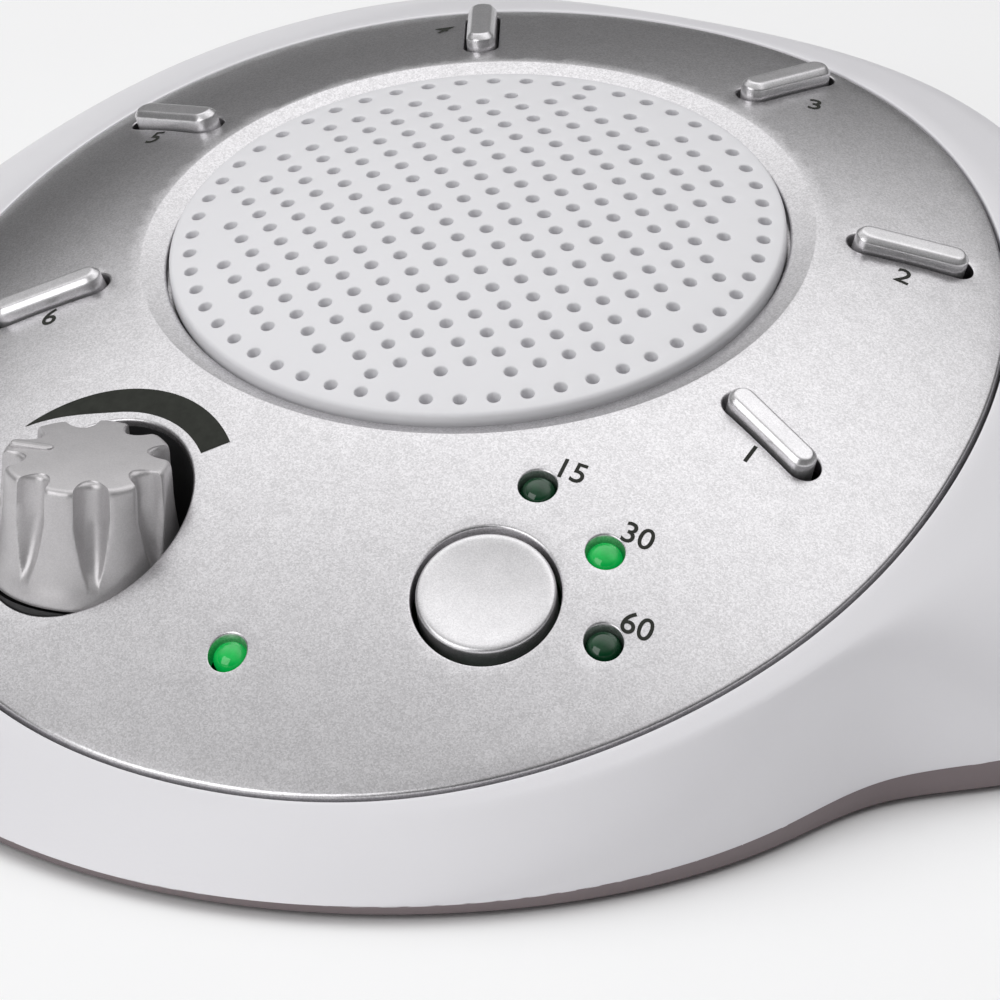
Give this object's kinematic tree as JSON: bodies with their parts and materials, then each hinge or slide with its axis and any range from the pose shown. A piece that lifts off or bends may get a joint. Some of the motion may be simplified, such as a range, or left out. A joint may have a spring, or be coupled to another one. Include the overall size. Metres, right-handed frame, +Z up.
{
  "type": "white noise sound machine",
  "caption": "Low oval sound machine with a crowned silver faceplate, round perforated speaker grille, radial sound buttons, a volume knob, a timer button and lamps.",
  "frame": {"origin": "middle of the footprint, at the level of the feet", "axes": "+Z up, -Y to the front edge of the faceplate, +X to the timer button's side"},
  "size_m": [0.1604, 0.1408, 0.0444],
  "materials": {
    "white_shell": "satin",
    "silver_paint": "satin metallic paint",
    "taupe_base": "matt",
    "white_grille": "matt",
    "dust_cloth": "woven",
    "steel": "plated",
    "paper_cone": "pressed paper",
    "magnet": "sintered",
    "lamp_off": "clear",
    "lamp_lit": "lit",
    "silver_knob": "satin metallic paint",
    "board_green": "solder mask",
    "black_plastic": "matt",
    "rubber": "matt",
    "silver_button": "satin metallic paint"
  },
  "bodies": {
    "case": {"upper_housing": "white_shell", "faceplate": "silver_paint", "base_cover": "taupe_base", "speaker_grille": "white_grille", "grille_cloth": "dust_cloth", "speaker_frame": "steel", "speaker_cone": "paper_cone", "speaker_magnet": "magnet", "timer_lamp_15": "lamp_off", "timer_lamp_30": "lamp_lit", "timer_lamp_60": "lamp_off", "power_lamp": "lamp_lit", "volume_pot": "steel", "pot_nut": "steel", "control_board": "board_green", "tact_switches": "black_plastic", "board_chips": "black_plastic", "board_screws": "steel", "housing_screws": "steel", "battery_contacts": "steel", "battery_springs": "steel", "rubber_feet": "rubber", "power_inlet": "black_plastic"},
    "knob": {"volume_knob": "silver_knob", "pot_shaft": "steel"},
    "timer_key": {"timer_button": "silver_button"},
    "battery_lid": {"battery_door": "taupe_base"},
    "sound_key_1": {"sound_button_1": "silver_button"},
    "sound_key_2": {"sound_button_2": "silver_button"},
    "sound_key_3": {"sound_button_3": "silver_button"},
    "sound_key_4": {"sound_button_4": "silver_button"},
    "sound_key_5": {"sound_button_5": "silver_button"},
    "sound_key_6": {"sound_button_6": "silver_button"}
  },
  "joints": [
    {"name": "volume_turn", "type": "hinge", "parent": "case", "child": "knob", "pos_m": [-0.0228, -0.03758, 0.02417], "axis": [0, 0, 1], "range_deg": [-240, 40]},
    {"name": "timer_press", "type": "slide", "parent": "case", "child": "timer_key", "axis": [0, 0.1564, -0.9877], "range_m": [0, 0.0006], "stiffness_N_per_m": 1500},
    {"name": "battery_door_swing", "type": "hinge", "parent": "case", "child": "battery_lid", "pos_m": [0, 0.0013, 0.0008], "axis": [-1, 0, 0], "range_deg": [0, 85]},
    {"name": "sound_press_1", "type": "slide", "parent": "case", "child": "sound_key_1", "axis": [0, 0.1564, -0.9877], "range_m": [0, 0.0006], "stiffness_N_per_m": 1500},
    {"name": "sound_press_2", "type": "slide", "parent": "case", "child": "sound_key_2", "axis": [0, 0.1564, -0.9877], "range_m": [0, 0.0006], "stiffness_N_per_m": 1500},
    {"name": "sound_press_3", "type": "slide", "parent": "case", "child": "sound_key_3", "axis": [0, 0.1564, -0.9877], "range_m": [0, 0.0006], "stiffness_N_per_m": 1500},
    {"name": "sound_press_4", "type": "slide", "parent": "case", "child": "sound_key_4", "axis": [0, 0.1564, -0.9877], "range_m": [0, 0.0006], "stiffness_N_per_m": 1500},
    {"name": "sound_press_5", "type": "slide", "parent": "case", "child": "sound_key_5", "axis": [0, 0.1564, -0.9877], "range_m": [0, 0.0006], "stiffness_N_per_m": 1500},
    {"name": "sound_press_6", "type": "slide", "parent": "case", "child": "sound_key_6", "axis": [0, 0.1564, -0.9877], "range_m": [0, 0.0006], "stiffness_N_per_m": 1500}
  ]
}
